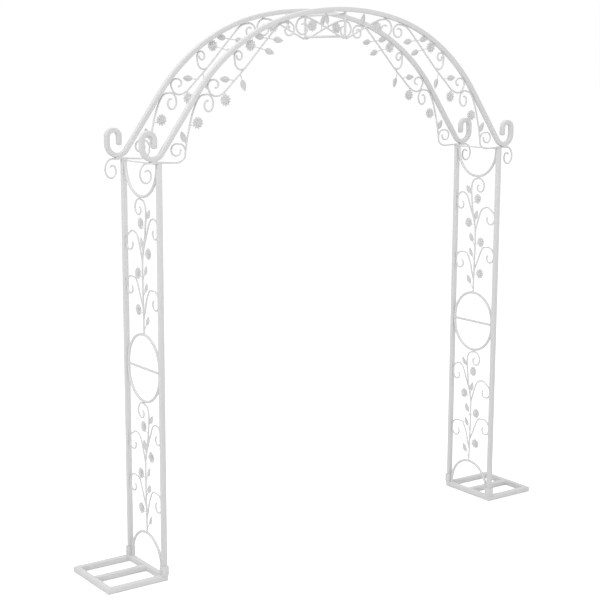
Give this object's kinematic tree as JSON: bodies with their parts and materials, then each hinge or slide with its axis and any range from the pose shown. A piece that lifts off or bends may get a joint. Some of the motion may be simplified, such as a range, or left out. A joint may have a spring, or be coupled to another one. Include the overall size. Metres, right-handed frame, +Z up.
{
  "type": "wedding arch",
  "caption": "Free-standing white metal wedding arch: double columns on flat base frames carry a double curved tube with scrollwork, leaves and roses.",
  "frame": {"origin": "centre of the arch on the ground, midway between the columns and between the front and back rows of posts", "axes": "+X to the right along the span, +Y from the front row to the back row, +Z up"},
  "size_m": [2.415, 0.326, 2.401],
  "materials": {
    "tube": "satin white powder coat on tube",
    "rod": "satin white powder coat on round rod",
    "wire": "satin white powder coat on scrolled wire",
    "leaf": "satin white powder coat on stamped sheet",
    "rose": "satin white powder coat on stamped sheet"
  },
  "bodies": {
    "root": {"left_base_frame": "tube", "right_base_frame": "tube", "left_front_socket": "tube", "left_back_socket": "tube", "right_front_socket": "tube", "right_back_socket": "tube", "left_front_post": "tube", "left_back_post": "tube", "right_front_post": "tube", "right_back_post": "tube", "left_lower_hoop": "rod", "right_lower_hoop": "rod", "left_centre_ring": "rod", "right_centre_ring": "rod", "left_ring_crossbar": "rod", "right_ring_crossbar": "rod", "left_upper_hoop": "rod", "right_upper_hoop": "rod", "left_lower_vine": "wire", "right_lower_vine": "wire", "left_upper_vine": "wire", "right_upper_vine": "wire", "left_column_leaves": "leaf", "right_column_leaves": "leaf", "left_column_roses": "rose", "right_column_roses": "rose", "left_tie_rod": "rod", "right_tie_rod": "rod", "left_front_saddle": "tube", "left_back_saddle": "tube", "right_front_saddle": "tube", "right_back_saddle": "tube", "front_arch_tube": "tube", "back_arch_tube": "tube", "front_left_scrolls": "wire", "front_right_scrolls": "wire", "back_left_scrolls": "wire", "back_right_scrolls": "wire", "front_arch_leaves": "leaf", "back_arch_leaves": "leaf", "front_arch_roses": "rose", "back_arch_roses": "rose", "crown_frame": "rod"}
  },
  "joints": []
}
